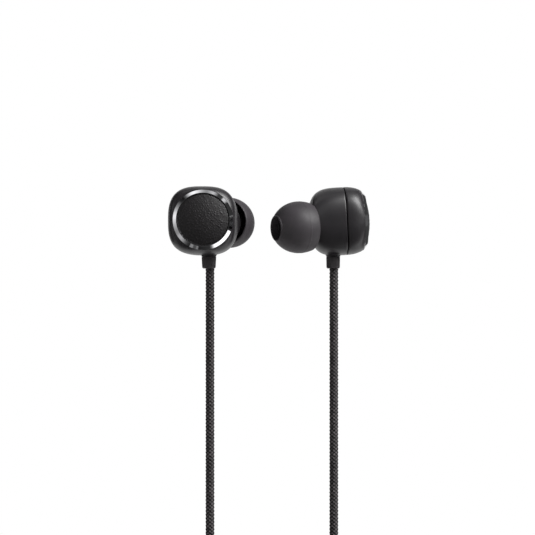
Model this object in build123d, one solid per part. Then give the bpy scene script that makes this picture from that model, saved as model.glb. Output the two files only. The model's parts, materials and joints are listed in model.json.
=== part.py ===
"""Wired in-ear earphones: two buds with braided cords, a splitter, a coil of spare cord and a 3.5 mm plug.

Each bud is drawn about its own centre, on the seam between its shells: X towards the wearer's
nose, Y up, Z out of the ear through the cap. The left bud is the mirror image of the right one.
The pair is held up at the origin, midway between the cords, and the cords hang straight down.
"""

import math
import os

from build123d import *

# Shells
shell_half_width = 8.17     # at the seam
shell_squareness = 2.9      # exponent of the superellipse at the seam, 2 being a circle
shell_wall = 0.9            # outer shell
inner_wall = 1.3            # inner shell, which also carries the register lip
seam_gap = 0.25             # the shadow line left round the seam
lip_height = 0.9            # the register lip's reach into the outer shell
lip_clearance = 0.03
mouth_step = 0.1            # how much narrower the lip's mouth is than the bowl's cavity
mouth_overlap = 0.4         # how far the mouth's straight wall runs down into the bowl
cap_face = 4.3              # height of the outer shell's round front face
cap_wall = 1.0
bowl_end = 8.6              # depth at which the inner shell is cut off for the nozzle
bowl_depth = bowl_end + 0.5  # where its curve would close
bowl_fullness = 3.6         # exponent of the bowl's profile
bowl_steady_lean = 0.14     # sideways lean of the bowl for each millimetre of depth
bowl_end_lean = 3.6         # extra lean towards the nozzle at the bowl's end
bud_pitch = 3.2             # degrees, how far the cap looks up when the cord hangs straight

# Cap
ring_outer_radius = 7.22
ring_inner_radius = 6.35
ring_height = 0.82
ring_bevel_land = 0.15      # flat left at the ring's top and at its foot
pad_dome_height = 1.12
pad_clearance = 0.02
cap_plate_thickness = 0.45
cap_hole_radius = ring_inner_radius - 0.95
cap_spigot_clearance = 0.05
cap_spigot_wall = 0.8

# Nozzle and ear tip, measured along the nozzle's axis from the seam
nozzle_angle = 22.0         # degrees from straight in, towards the nose
nozzle_offset = 1.6         # where the axis crosses the seam plane
nozzle_radius = 2.55
nozzle_lip_radius = nozzle_radius + 0.1
nozzle_lip_length = 0.6
nozzle_root_radius = nozzle_radius + 0.75
nozzle_root_start = bowl_end - 0.2
nozzle_root_end = bowl_end + 1.7
nozzle_length = 6.4
nozzle_end = nozzle_root_end + nozzle_length
sound_bore_radius = nozzle_radius - 0.75
mesh_radius = sound_bore_radius + 0.28
mesh_clearance = 0.02
mesh_seat_depth = 0.5
mesh_thickness = 0.2
tip_bore_radius = nozzle_lip_radius + 0.05
tip_stem_wall = 0.6
tip_start_gap = 0.3         # left between the nozzle's root and the ear tip's stem
tip_max_radius = 6.15
tip_rim_radius = 5.6
tip_length = 8.8            # from the rim to the front
tip_rim_to_widest = 2.9
tip_rim_before_root = 0.37  # the rim lies this far inside the nozzle root's end
tip_skirt_thickness = 0.4
tip_fold_thickness = 0.8    # where the skirt turns back from the stem
tip_lip_bevel = 0.3
tip_widest_at = nozzle_root_end - tip_rim_before_root + tip_rim_to_widest

# Strain relief and its place, in the upright bud
relief_nose_offset = 1.6
relief_depth = -2.64        # behind the seam
relief_top = -shell_half_width - 0.38
relief_length = 2.85
relief_bottom = relief_top - relief_length
cord_radius = 1.0
relief_width = 2 * cord_radius + 1.15
relief_depth_size = 2 * cord_radius + 1.0
relief_corner = 0.95
relief_taper = 0.12         # how much narrower each side is at the bottom
relief_chamfer = 0.3
boss_width = relief_width + 0.55
boss_corner = 1.2
boss_inside = 1.6           # how far the boss reaches up into the shell's wall
stop_bottom = -shell_half_width + inner_wall - 0.03
stop_top = stop_bottom + 1.0
stop_radius = cord_radius + 0.3
stop_clearance = 0.05

# Driver, along Z about its own centre
driver_offset = 0.4
driver_radius = 5.0
driver_wall = 0.4
driver_front = -2.1
driver_back = 0.3
basket_thickness = 0.3
baffle_thickness = 0.5
baffle_clearance = 0.05
cover_thickness = 0.2
cover_radius = driver_radius - 0.1
baffle_hole_radius = cover_radius - 0.6
cover_hole_radius = 0.55
cover_hole_circle = 2.9
cover_hole_count = 6
yoke_radius = driver_radius - 1.9
yoke_wall = 0.4
yoke_front = -1.0
yoke_back = 1.8
magnet_radius = yoke_radius - 1.0
magnet_front = -0.3
pole_radius = magnet_radius + 0.1
pole_thickness = 0.4
coil_inner_radius = pole_radius + 0.15
coil_outer_radius = coil_inner_radius + 0.2
coil_front = -1.5
coil_length = 1.1
diaphragm_radius = driver_radius - driver_wall - 0.1
diaphragm_thickness = 0.08
diaphragm_dome = 0.27
fit_clearance = 0.02
board_radius = yoke_radius - 0.5
board_thickness = 0.3
damper_thickness = 0.2
damper_radius = driver_radius - 0.3
wire_radius = 0.18
wire_spacing = 0.7
wire_below_centre = driver_radius + 0.5
wire_landing = board_radius - 0.8
wire_bend = 0.6

# Cords
main_cord_radius = 1.15
cord_half_spacing = 14.86   # half the distance between the two hanging cords
cord_bore_clearance = 0.02
left_yaw = 93.0             # degrees each bud is turned about its own cord
right_yaw = 2.5

# Coils of spare cord, hanging in line below the buds
coil_centre = -98.0
coil_row_pitch = 2 * cord_radius + 0.2
main_row_pitch = 2 * main_cord_radius + 0.15
coil_rows = 2
main_rows = 4
coil_outer_radius_cord = cord_half_spacing
coil_inner_radius_cord = 11.3
main_outer_radius_cord = 14.6
main_inner_radius_cord = 9.2
coil_skin = 0.05
coil_corner = 0.9
coil_gap = 0.1              # between the two coils

# Ties round the coils
tie_width = 5.0
tie_thickness = 0.8
tie_clearance = 0.1
tie_corner = 1.5
tie_head_width = 4.6
tie_head_height = 1.2
tie_head_length = 7.0

# Splitter
splitter_top = -126.0
splitter_bottom = -143.0
splitter_width = 2 * (cord_radius + 0.3) + 2 * cord_radius + 2.0
splitter_depth = 2 * cord_radius + 2.6
splitter_corner = 2.1
splitter_end_fillet = 0.8
splitter_cord_offset = cord_radius + 0.3
splitter_cord_depth = 6.0
splitter_main_depth = 4.0
splitter_relief_length = 6.0
splitter_relief_top_radius = main_cord_radius + 0.85
splitter_relief_end_radius = main_cord_radius + 0.45

# Plug, hanging on the main cord's end
plug_relief_top = -110.0
plug_relief_length = 10.0
plug_relief_top_radius = main_cord_radius + 0.6
plug_relief_end_radius = main_cord_radius + 1.35
plug_cord_depth = 9.0
plug_body_radius = plug_relief_end_radius + 0.8
plug_body_length = 17.0
plug_body_fillet = 0.8
plug_pin_radius = 1.75
plug_collar_radius = 2.5
plug_collar_length = 0.6
plug_sleeve_length = 7.0
plug_insulator_length = 0.6
plug_insulator_radius = plug_pin_radius
plug_ring_length = 2.0
plug_tip_length = 3.8
plug_core_radius = 0.9
plug_core_depth = 6.0
plug_tip_waist_radius = 1.15
plug_tip_nose_radius = 0.6


# ---------- shapes shared by several pieces ----------

def squircle(z, half_x, half_y, squareness, centre_x=0.0, points=24):
    """A superellipse face at height z."""
    outline = []
    for i in range(points):
        angle = 2 * math.pi * i / points
        c, s = math.cos(angle), math.sin(angle)
        r = (abs(c / half_x) ** squareness + abs(s / half_y) ** squareness) ** (-1 / squareness)
        outline.append((centre_x + r * c, r * s, z))
    return Face(Wire([Spline(outline, periodic=True)]))


def rounded_bar(width, depth, corner, low, high, taper=0.0):
    """An upright bar along Y with rounded corners, narrower by taper on each side at its low end."""
    def end(y, less):
        plane = Plane(origin=(0, y, 0), x_dir=(1, 0, 0), z_dir=(0, 1, 0))
        return plane * RectangleRounded(width - 2 * less, depth - 2 * less, corner)
    return loft([end(low, taper), end(high, 0.0)])


def disc(radius, low, high, hole=0.0):
    """A flat disc along Z, with a round hole if hole is not 0."""
    body = Pos(0, 0, (low + high) / 2) * Cylinder(radius, high - low)
    if hole:
        body -= Pos(0, 0, (low + high) / 2) * Cylinder(hole, high - low + 1)
    return body


def upright(radius, low, high):
    """A cylinder along Y."""
    return Pos(0, (low + high) / 2, 0) * Rot(X=90) * Cylinder(radius, high - low)


def hanging(radius, low, high):
    """A cylinder along the world's Z."""
    return Pos(0, 0, (low + high) / 2) * Cylinder(radius, high - low)


# ---------- shells ----------

def bowl_section(depth, inset):
    """The inner shell's section at a depth behind the seam."""
    half = shell_half_width * math.sqrt(1 - (depth / bowl_depth) ** bowl_fullness) - inset
    along = depth / bowl_end
    lean = bowl_steady_lean * depth + bowl_end_lean * along ** 5
    squareness = shell_squareness - (shell_squareness - 2) * along ** 1.5
    return squircle(-depth, half, half, squareness, lean)


def bowl(top, end, inset, steps=7):
    """A solid bowl from the depth top to the depth end, with every section drawn in by inset."""
    return loft([bowl_section(top + (end - top) * i / (steps - 1), inset) for i in range(steps)])


def shoulder(height):
    """Half-width and squareness of the outer shell at a height above the seam."""
    along = height / cap_face
    half = shell_half_width - (shell_half_width - ring_outer_radius) * along ** 2.7
    squareness = shell_squareness - (shell_squareness - 2) * along ** 2.2
    return half, squareness


def cap_solid(top, inset, steps=6):
    """A solid cap from the seam's edge up to top, with every section drawn in by inset."""
    sections = []
    for i in range(steps):
        height = seam_gap / 2 + (top - seam_gap / 2) * i / (steps - 1)
        half, squareness = shoulder(height)
        sections.append(squircle(height, half - inset, half - inset, squareness))
    return loft(sections)


def outer_shell():
    shell = cap_solid(cap_face, 0.0) - cap_solid(cap_face - cap_wall, shell_wall)
    return shell - disc(cap_hole_radius, cap_face - cap_wall - 0.5, cap_face + 0.5)


def nozzle_frame():
    """The place of the nozzle's axis, whose Z runs out of the nozzle."""
    angle = math.radians(nozzle_angle)
    return Location(Plane(origin=(nozzle_offset, 0, 0), x_dir=(math.cos(angle), 0, math.sin(angle)),
                          z_dir=(math.sin(angle), 0, -math.cos(angle))))


def inner_shell():
    """The inner shell in the upright bud: the leaning bowl, its nozzle, and the boss for the cord."""
    lip_half = shell_half_width - shell_wall - lip_clearance
    lip = extrude(squircle(-seam_gap / 2, lip_half, lip_half, shell_squareness), lip_height + seam_gap / 2,
                  dir=(0, 0, 1))
    root = Pos(0, 0, (nozzle_root_start + nozzle_root_end) / 2) * Cone(
        nozzle_root_radius, nozzle_radius, nozzle_root_end - nozzle_root_start)
    barrel = disc(nozzle_radius, nozzle_root_end, nozzle_end)
    nozzle_lip = disc(nozzle_lip_radius, nozzle_end - nozzle_lip_length, nozzle_end)
    outside = bowl(seam_gap / 2, bowl_end, 0.0) + lip + nozzle_frame() * (root + barrel + nozzle_lip)
    mouth_half = shell_half_width - inner_wall - mouth_step
    mouth = extrude(squircle(-mouth_overlap, mouth_half, mouth_half, shell_squareness),
                    lip_height + mouth_overlap + 1, dir=(0, 0, 1))
    cavity = bowl(seam_gap / 2, bowl_end - inner_wall, inner_wall) + mouth
    bore = disc(sound_bore_radius, bowl_end - inner_wall - 1.5, nozzle_end + 1)
    seat = disc(mesh_radius + mesh_clearance, nozzle_end - mesh_seat_depth, nozzle_end + 1)
    cavity += nozzle_frame() * (bore + seat)
    shell = pitch() * (outside - cavity)
    place = Pos(relief_nose_offset, 0, relief_depth)
    boss = place * rounded_bar(boss_width, boss_width, boss_corner, relief_top, relief_top + boss_inside)
    boss -= pitch() * cavity
    pocket = place * upright(stop_radius + stop_clearance, stop_bottom, stop_top + 0.6)
    hole = place * upright(cord_radius + cord_bore_clearance, relief_top - 1, stop_top)
    return shell + boss - pocket - hole


def pitch():
    return Rot(X=-bud_pitch)


# ---------- cap trim ----------

def trim_ring():
    low, high = cap_face, cap_face + ring_height
    profile = make_face(Polyline(
        (ring_inner_radius, 0, low), (ring_outer_radius, 0, low),
        (ring_outer_radius, 0, low + ring_bevel_land),
        (ring_inner_radius + ring_bevel_land, 0, high), (ring_inner_radius, 0, high), close=True))
    return revolve(profile, Axis.Z)


def cap_plate():
    plate = disc(ring_inner_radius - pad_clearance, cap_face, cap_face + cap_plate_thickness)
    spigot = cap_hole_radius - cap_spigot_clearance
    return plate + disc(spigot, cap_face - cap_wall, cap_face, hole=spigot - cap_spigot_wall)


def leather_pad():
    radius = ring_inner_radius - pad_clearance
    low = cap_face + cap_plate_thickness
    edge = cap_face + ring_height - ring_bevel_land
    profile = make_face(Curve() + [
        Line((0, 0, low), (radius, 0, low)), Line((radius, 0, low), (radius, 0, edge)),
        dome_arc(radius, edge, pad_dome_height), Line((0, 0, edge + pad_dome_height), (0, 0, low))])
    return revolve(profile, Axis.Z)


def dome_arc(radius, edge, height):
    """The arc of a spherical dome, from its edge to its top."""
    sphere = (radius ** 2 + height ** 2) / (2 * height)
    half = math.asin(radius / sphere) / 2
    middle = (sphere * math.sin(half), 0, edge + height - sphere * (1 - math.cos(half)))
    return ThreePointArc((radius, 0, edge), middle, (0, 0, edge + height))


# ---------- nozzle mesh and ear tip ----------

def nozzle_mesh():
    low = nozzle_end - mesh_seat_depth
    return nozzle_frame() * disc(mesh_radius, low, low + mesh_thickness)


def ear_tip():
    """A soft skirt turned back over a stem, open at the front."""
    rim = tip_widest_at - tip_rim_to_widest
    front = rim + tip_length
    stem_start = nozzle_root_end + tip_start_gap
    stem = tip_bore_radius + tip_stem_wall
    dome = tip_dome(tip_max_radius, tip_bore_radius + tip_lip_bevel, front - tip_widest_at)
    hollow = tip_dome(tip_max_radius - tip_skirt_thickness, stem, front - tip_widest_at - tip_fold_thickness)
    corners = [(tip_bore_radius, stem_start), (tip_bore_radius, front - tip_lip_bevel)]
    corners += [(radius, tip_widest_at + ahead) for radius, ahead in reversed(dome)]
    corners += [(tip_rim_radius, rim), (tip_rim_radius - tip_skirt_thickness, rim)]
    corners += [(radius, tip_widest_at + ahead) for radius, ahead in hollow]
    corners += [(stem, stem_start)]
    profile = make_face(Polyline([(radius, 0, height) for radius, height in corners], close=True))
    return nozzle_frame() * revolve(profile, Axis.Z)


def tip_dome(widest, narrowest, height, steps=6):
    """Radius and height of points on a quarter ellipse, from its widest to where it is narrowest."""
    last = math.acos(narrowest / widest)
    return [(widest * math.cos(last * i / steps), height * math.sin(last * i / steps) / math.sin(last))
            for i in range(steps + 1)]


# ---------- driver ----------

def driver_pieces():
    """The dynamic driver's pieces, about its axis; it faces the nozzle."""
    inside = driver_radius - driver_wall
    frame = disc(driver_radius, driver_front, driver_back, hole=inside)
    frame += disc(inside, driver_back - basket_thickness, driver_back, hole=yoke_radius + fit_clearance)
    cover = disc(cover_radius, driver_front - cover_thickness, driver_front)
    for hole in PolarLocations(cover_hole_circle, cover_hole_count):
        cover -= hole * Pos(0, 0, driver_front) * Cylinder(cover_hole_radius, 1)
    cover -= Pos(0, 0, driver_front) * Cylinder(cover_hole_radius, 1)
    floor = yoke_back - yoke_wall
    yoke = disc(yoke_radius, yoke_front, yoke_back) - disc(yoke_radius - yoke_wall, yoke_front - 1, floor)
    coil = disc(coil_outer_radius, coil_front, coil_front + coil_length, hole=coil_inner_radius)
    return {
        "driver_frame": frame,
        "driver_cover": cover,
        "driver_yoke": yoke,
        "driver_magnet": disc(magnet_radius, magnet_front, floor),
        "driver_pole_plate": disc(pole_radius, magnet_front - pole_thickness, magnet_front),
        "voice_coil": coil,
        "diaphragm": diaphragm(),
        "terminal_board": disc(board_radius, yoke_back, yoke_back + board_thickness),
        "driver_damper": disc(damper_radius, driver_back, driver_back + damper_thickness,
                              hole=yoke_radius + fit_clearance),
    }


def diaphragm():
    """A flat surround with a shallow dome inside the voice coil's circle."""
    back = coil_front
    front = back - diaphragm_thickness
    dome_edge = coil_inner_radius
    sheet = disc(diaphragm_radius, front, back)
    sphere = (dome_edge ** 2 + diaphragm_dome ** 2) / (2 * diaphragm_dome)
    ball = Pos(0, 0, back - diaphragm_dome + sphere)
    dome = ball * Sphere(sphere) - ball * Sphere(sphere - diaphragm_thickness)
    dome &= disc(dome_edge, back - 1, back)
    return sheet - disc(dome_edge - 0.2, front - 1, back + 1) + dome


def driver_baffle():
    """The plate across the inner shell that carries the driver."""
    high = driver_front - cover_thickness
    low = high - baffle_thickness
    face = bowl_section(-low, inner_wall + baffle_clearance)
    plate = extrude(face, baffle_thickness, dir=(0, 0, 1))
    plate -= Pos(driver_offset, 0, 0) * disc(baffle_hole_radius, low - 1, high + 1)
    notch = pitch().inverse() * (Pos(relief_nose_offset, 0, relief_depth)
                                 * upright(stop_radius + 3 * stop_clearance, stop_bottom - 1, stop_top + 1))
    return plate - notch


def lead_wires():
    """Two enamelled wires from the cord's end to the board behind the driver."""
    height = yoke_back + board_thickness
    wires = []
    for side in (-0.5, 0.5):
        x = relief_nose_offset + side * wire_spacing
        path = FilletPolyline(
            (x, -wire_below_centre, relief_depth), (x, -wire_below_centre, height + wire_bend + wire_radius),
            (x, -wire_landing, height + wire_bend + wire_radius), (x, -wire_landing, height),
            radius=wire_bend * 0.9)
        section = Plane(origin=path @ 0, z_dir=path % 0) * Circle(wire_radius)
        wires.append(sweep(section, path=path))
    return Compound(children=wires)


# ---------- strain relief ----------

def relief_pieces():
    """The rubber sleeve under the shell and the crimped stop that keeps the cord in, upright."""
    place = Pos(relief_nose_offset, 0, relief_depth)
    sleeve = rounded_bar(relief_width, relief_depth_size, relief_corner,
                         relief_bottom, relief_top, relief_taper)
    end = sleeve.faces().sort_by(Axis.Y)[0]
    sleeve = chamfer(end.edges(), relief_chamfer)
    sleeve -= upright(cord_radius + cord_bore_clearance, relief_bottom - 1, relief_top + 1)
    stop = upright(stop_radius, stop_bottom, stop_top)
    stop -= upright(cord_radius + cord_bore_clearance, stop_bottom - 1, stop_top + 1)
    return {"strain_relief": place * sleeve, "cord_stop": place * stop}


def bud_pieces():
    """Every piece of the right bud, in the upright bud's frame."""
    pieces = {"inner_shell": inner_shell(), **relief_pieces()}
    leaning = {
        "outer_shell": outer_shell(), "trim_ring": trim_ring(), "cap_plate": cap_plate(),
        "leather_pad": leather_pad(), "nozzle_mesh": nozzle_mesh(), "ear_tip": ear_tip(),
        "driver_baffle": driver_baffle(), "lead_wires": lead_wires(),
    }
    for name, piece in driver_pieces().items():
        leaning[name] = Pos(driver_offset, 0, 0) * piece
    for name, piece in leaning.items():
        pieces[name] = pitch() * piece
    return pieces


def place_bud(piece, side):
    """Stands a bud's piece on its cord, which hangs at side times the half spacing."""
    at_cord = Pos(-relief_nose_offset, 0, -relief_depth) * piece
    if side > 0:
        at_cord = mirror(at_cord, about=Plane.YZ)
    yaw = left_yaw if side > 0 else right_yaw
    return Pos(side * cord_half_spacing, 0, 0) * Rot(Z=yaw) * (Rot(X=90) * at_cord)


# ---------- cords ----------

def tube(points, radius, report):
    """A round tube along straight runs joined by arcs as large as the runs allow."""
    corners = [Vector(*p) for p in points]
    radii = []
    for before, corner, after in zip(corners, corners[1:], corners[2:]):
        turn = math.radians((corner - before).get_angle(after - corner))
        shorter = min((corner - before).length, (after - corner).length)
        radii.append(0.45 * shorter / math.tan(turn / 2))
    if radii:
        path = FilletPolyline(*points, radius=radii)
    else:
        path = Line(*points)
    print(report, "length", round(path.length, 1), "radii", [round(r, 1) for r in radii])
    body = sweep(Plane(origin=path @ 0, z_dir=path % 0) * Circle(radius), path=path)
    expected = math.pi * radius ** 2 * path.length
    print(report, "volume over section times length", round(body.volume / expected, 4))
    return body


def coil_ring(inner, outer, low, high):
    """The outer shape of a coil whose turns lie in rows along Y."""
    middle = (low + high) / 2
    ring = Cylinder(outer, high - low) - Cylinder(inner, high - low + 1)
    ring = fillet(ring.edges(), coil_corner)
    return Pos(0, middle, coil_centre) * Rot(X=90) * ring


upper_half_depth = coil_rows * coil_row_pitch - coil_row_pitch / 2 + cord_radius + coil_skin
main_low = upper_half_depth + coil_gap
main_first_row = main_low + main_cord_radius + coil_skin
main_last_row = main_first_row + (main_rows - 1) * main_row_pitch
main_high = main_last_row + main_cord_radius + coil_skin
outer_row = (coil_rows - 0.5) * coil_row_pitch


def cord_pieces():
    upper_inner = coil_inner_radius_cord - cord_radius - coil_skin
    upper_outer = coil_outer_radius_cord + cord_radius + coil_skin
    main_inner = main_inner_radius_cord - main_cord_radius - coil_skin
    main_outer = main_outer_radius_cord + main_cord_radius + coil_skin
    pieces = {
        "right_cord_coil": coil_ring(upper_inner, upper_outer, -upper_half_depth, 0),
        "left_cord_coil": coil_ring(upper_inner, upper_outer, 0, upper_half_depth),
        "main_cord_coil": coil_ring(main_inner, main_outer, main_low, main_high),
    }
    for name, side in (("right", -1), ("left", 1)):
        x = side * cord_half_spacing
        drop = tube([(x, 0, stop_top), (x, 0, coil_centre)], cord_radius, name + "_cord")
        for coil in ("left_cord_coil", "right_cord_coil"):
            drop -= pieces[coil]
        pieces[name + "_cord"] = drop
        into = side * splitter_cord_offset
        end = tube([(side * 8.52, side * outer_row, -110.17), (into, side * 2.0, -115.2),
                    (into, 0, splitter_top + 3.8), (into, 0, splitter_top - splitter_cord_depth)],
                   cord_radius, name + "_cord_end")
        for coil in ("left_cord_coil", "right_cord_coil"):
            end -= pieces[coil]
        pieces[name + "_cord_end"] = end
    loop = tube([(0, 0, splitter_bottom + splitter_main_depth), (0, 0, -153.2), (-4.8, 1.65, -158.3),
                 (-11.6, 3.97, -158.3), (-16.4, 5.6, -153.2), (-16.0, main_first_row, -126),
                 (-main_outer_radius_cord, main_first_row, coil_centre)], main_cord_radius, "main_cord_loop")
    pieces["main_cord_loop"] = loop - pieces["main_cord_coil"]
    x = main_outer_radius_cord
    end = tube([(x, main_last_row, coil_centre), (x, main_last_row, plug_relief_top - plug_cord_depth)],
               main_cord_radius, "main_cord_end")
    pieces["main_cord_end"] = end - pieces["main_cord_coil"]
    return pieces


def tie(side):
    """A strap round the coils on one side, with its pressed-down end at the front."""
    near = main_inner_radius_cord - main_cord_radius - coil_skin
    reach = math.sqrt(near ** 2 - (tie_width / 2) ** 2) - tie_clearance
    far = coil_outer_radius_cord + cord_radius + coil_skin + tie_clearance
    low, high = -upper_half_depth - tie_clearance, main_high + tie_clearance
    centre = Pos(side * (reach + far) / 2, (low + high) / 2, coil_centre)
    inside = RectangleRounded(far - reach, high - low, tie_corner - tie_thickness / 2)
    outside = RectangleRounded(far - reach + 2 * tie_thickness, high - low + 2 * tie_thickness, tie_corner)
    strap = extrude(outside - inside, tie_width / 2, both=True)
    head = Pos(0, -(high - low) / 2 - tie_thickness - tie_head_height / 2, 0) * Box(
        tie_head_length, tie_head_height, tie_head_width)
    head = fillet(head.edges().filter_by(Axis.Z), tie_head_height * 0.45)
    return centre * (strap + head)


def splitter_pieces():
    length = splitter_top - splitter_bottom
    middle = (splitter_top + splitter_bottom) / 2
    body = extrude(RectangleRounded(splitter_width, splitter_depth, splitter_corner), length / 2, both=True)
    ends = body.faces().sort_by(Axis.Z)
    body = fillet(ends[0].edges() + ends[-1].edges(), splitter_end_fillet)
    body = Pos(0, 0, middle) * body
    bore = cord_radius + cord_bore_clearance
    for side in (-1, 1):
        x = side * splitter_cord_offset
        body -= Pos(x, 0, 0) * hanging(bore, splitter_top - splitter_cord_depth, splitter_top + 1)
    main_bore = main_cord_radius + cord_bore_clearance
    body -= hanging(main_bore, splitter_bottom - 1, splitter_bottom + splitter_main_depth)
    chamber_low = splitter_bottom + splitter_main_depth
    chamber_high = splitter_top - splitter_cord_depth
    body -= Pos(0, 0, (chamber_low + chamber_high) / 2) * Box(
        2 * splitter_cord_offset, 2 * main_cord_radius, chamber_high - chamber_low)
    half = Box(50, 50, 100)
    relief = Pos(0, 0, splitter_bottom - splitter_relief_length / 2) * Cone(
        splitter_relief_end_radius, splitter_relief_top_radius, splitter_relief_length)
    relief -= hanging(main_bore, splitter_bottom - splitter_relief_length - 1, splitter_bottom + 1)
    return {
        "splitter_front": body & (Pos(0, -25, middle) * half),
        "splitter_back": body & (Pos(0, 25, middle) * half),
        "splitter_relief": relief,
    }


# ---------- plug ----------

def plug_pieces():
    """The plug's pieces, one below another, with the pin pointing down."""
    bore = main_cord_radius + cord_bore_clearance
    body_top = plug_relief_top - plug_relief_length
    body_bottom = body_top - plug_body_length
    relief = Pos(0, 0, plug_relief_top - plug_relief_length / 2) * Cone(
        plug_relief_end_radius, plug_relief_top_radius, plug_relief_length)
    relief -= hanging(bore, plug_relief_top - plug_cord_depth, plug_relief_top + 1)
    body = hanging(plug_body_radius, body_bottom, body_top)
    body = fillet(body.edges(), plug_body_fillet)
    body -= hanging(plug_core_radius, body_bottom - 1, body_bottom + plug_core_depth)
    collar_bottom = body_bottom - plug_collar_length
    sleeve_bottom = collar_bottom - plug_sleeve_length
    ring_top = sleeve_bottom - plug_insulator_length
    ring_bottom = ring_top - plug_ring_length
    tip_top = ring_bottom - plug_insulator_length
    sleeve = hanging(plug_collar_radius, collar_bottom, body_bottom)
    sleeve += hanging(plug_pin_radius, sleeve_bottom, collar_bottom)
    core_gap = plug_core_radius + fit_clearance
    sleeve -= hanging(core_gap, sleeve_bottom - 1, body_bottom + 1)
    insulators = [
        hanging(plug_insulator_radius, low, high) - hanging(core_gap, low - 1, high + 1)
        for low, high in ((ring_top, sleeve_bottom), (tip_top, ring_bottom))]
    contact_ring = hanging(plug_pin_radius, ring_bottom, ring_top)
    contact_ring -= hanging(core_gap, ring_bottom - 1, ring_top + 1)
    point = tip_top - plug_tip_length
    profile = make_face(Polyline(
        (0, 0, tip_top), (plug_pin_radius, 0, tip_top), (plug_pin_radius, 0, tip_top - 0.5),
        (plug_tip_waist_radius, 0, tip_top - 1.3), (plug_pin_radius - 0.05, 0, tip_top - 2.2),
        (plug_tip_nose_radius, 0, point), (0, 0, point), close=True))
    tip = revolve(profile, Axis.Z)
    tip += hanging(plug_core_radius - fit_clearance, tip_top, body_bottom + plug_core_depth)
    pieces = {
        "plug_relief": relief, "plug_housing": body, "plug_sleeve": sleeve,
        "plug_insulators": Compound(children=insulators), "plug_ring": contact_ring, "plug_tip": tip}
    place = Pos(main_outer_radius_cord, main_last_row, 0)
    return {name: place * piece for name, piece in pieces.items()}


# ---------- output ----------

def main():
    nodes = {}
    bud = bud_pieces()
    for name, side in (("right", -1), ("left", 1)):
        for piece_name, piece in bud.items():
            nodes[name + "_" + piece_name] = place_bud(piece, side)
        nodes[name + "_tie"] = tie(side)
    nodes.update(cord_pieces())
    nodes.update(splitter_pieces())
    nodes.update(plug_pieces())
    os.makedirs("parts", exist_ok=True)
    for node, shape in nodes.items():
        export_step(shape, "parts/" + node + ".step")
    print(len(nodes), "nodes")


main()
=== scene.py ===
import json
import math

import bpy
import numpy as np
from mathutils import Matrix, Vector, noise

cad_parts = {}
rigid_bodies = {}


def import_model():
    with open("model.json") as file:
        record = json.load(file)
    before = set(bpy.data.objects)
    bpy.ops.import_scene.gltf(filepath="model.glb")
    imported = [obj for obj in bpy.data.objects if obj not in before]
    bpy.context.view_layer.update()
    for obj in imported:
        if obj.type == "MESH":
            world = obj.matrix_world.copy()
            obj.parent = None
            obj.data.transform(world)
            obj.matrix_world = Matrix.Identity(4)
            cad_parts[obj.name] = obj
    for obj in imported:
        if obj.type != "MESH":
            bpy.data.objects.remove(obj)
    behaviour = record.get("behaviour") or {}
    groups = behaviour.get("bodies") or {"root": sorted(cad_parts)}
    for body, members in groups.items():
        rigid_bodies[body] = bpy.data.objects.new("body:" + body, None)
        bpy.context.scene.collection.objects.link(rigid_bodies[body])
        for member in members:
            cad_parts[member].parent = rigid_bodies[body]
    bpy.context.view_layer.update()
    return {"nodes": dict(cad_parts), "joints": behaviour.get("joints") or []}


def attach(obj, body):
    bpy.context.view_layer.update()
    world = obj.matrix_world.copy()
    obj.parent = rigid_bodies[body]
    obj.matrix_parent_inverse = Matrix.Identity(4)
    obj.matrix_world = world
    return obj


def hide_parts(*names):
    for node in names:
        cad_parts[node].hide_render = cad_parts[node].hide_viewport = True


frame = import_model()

mm = 0.001
sides = ("right", "left")
joints = {joint["name"]: joint for joint in frame["joints"]}
print("frame loaded:", len(frame["nodes"]), "nodes")


# The camera looks level at the pair from the front.
view = {"place": (-0.00106, -0.400, -0.01116), "lens": 112.15, "sensor": 36.0, "farthest": 20}


def addCamera():
    clearSelection()
    bpy.ops.object.camera_add(location=view["place"], rotation=(math.radians(90), 0, 0))
    camera = bpy.context.active_object
    camera.data.lens = view["lens"]
    camera.data.sensor_width = view["sensor"]
    camera.data.clip_end = view["farthest"]
    bpy.context.scene.camera = camera


def clearSelection():
    if bpy.context.object and bpy.context.object.mode != "OBJECT":
        bpy.ops.object.mode_set(mode="OBJECT")
    bpy.ops.object.select_all(action="DESELECT")


def selectOnly(piece):
    clearSelection()
    piece.select_set(True)
    bpy.context.view_layer.objects.active = piece


# Colours are written as on a colour picker and turned to linear light here.
def linear(hexColour):
    parts = [int(hexColour[i:i + 2], 16) / 255 for i in (1, 3, 5)]
    return tuple(p / 12.92 if p <= 0.04045 else ((p + 0.055) / 1.055) ** 2.4 for p in parts) + (1.0,)


def smoothStep(value):
    value = min(max(value, 0.0), 1.0)
    return value * value * (3 - 2 * value)


addCamera()
print("camera placed")


# Cords. A braid of six threads each way over a round core.
braid = {
    "threads": 6,            # each way
    "pitch": 0.877 * mm,     # from one crossing to the next along the cord
    "weave": 0.09,           # how far a thread goes over and under, as a share of the radius
    "crown": 0.21,           # how round each thread stands
    "fineStep": 0.11 * mm,   # between the rings of the mesh on the fine stretch below a bud
    "coilStep": 0.24 * mm,   # and on the rest
}
rightCoil = {"centre": -0.098, "outer": 0.01486, "inner": 0.0113, "rows": (-0.0011, -0.0033),
             "start": 180.0, "sweep": 1135.0, "points": 48}
leftCoil = {"centre": -0.098, "outer": 0.01486, "inner": 0.0113, "rows": (0.0011, 0.0033),
            "start": 0.0, "sweep": -1135.0, "points": 48}
mainCoil = {"centre": -0.098, "outer": 0.0146, "inner": 0.0092,
            "rows": (0.00565, 0.0081, 0.01055, 0.0130),
            "start": 180.0, "sweep": -3060.0, "points": 128}
controlReach = 1 / 0.978     # the smooth line runs this much inside points 24 degrees apart
hopShare = 0.16              # share of a row's turns over which the cord climbs to the next row


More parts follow.
